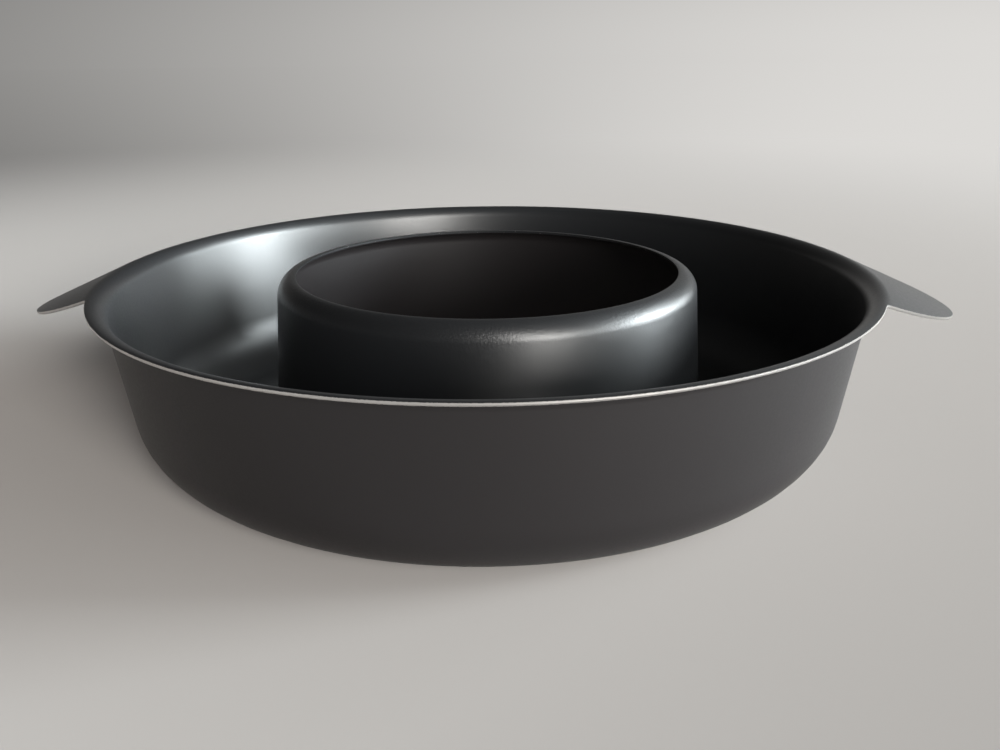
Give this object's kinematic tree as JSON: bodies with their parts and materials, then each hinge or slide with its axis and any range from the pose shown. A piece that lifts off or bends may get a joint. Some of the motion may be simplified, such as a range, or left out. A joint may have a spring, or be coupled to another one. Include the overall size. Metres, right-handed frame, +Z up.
{
  "type": "ring mould",
  "caption": "Round ring-cake mould pressed from coated aluminium sheet, with an open chimney in the middle, a bent-out rim and drooping lifting ears.",
  "frame": {"origin": "middle of the base, on the plane that the mould stands on", "axes": "+X through the ears, +Y across them, +Z up along the chimney's axis"},
  "size_m": [0.327, 0.27, 0.0577],
  "materials": {
    "bare_aluminium": "bare cut edge of rolled sheet",
    "nonstick_coat": "satin near-black baked non-stick coat",
    "outside_coat": "satin dark warm grey baked lacquer"
  },
  "bodies": {
    "root": {"pressed_pan": "bare_aluminium", "nonstick_lining": "nonstick_coat", "outside_lacquer": "outside_coat"}
  },
  "joints": []
}
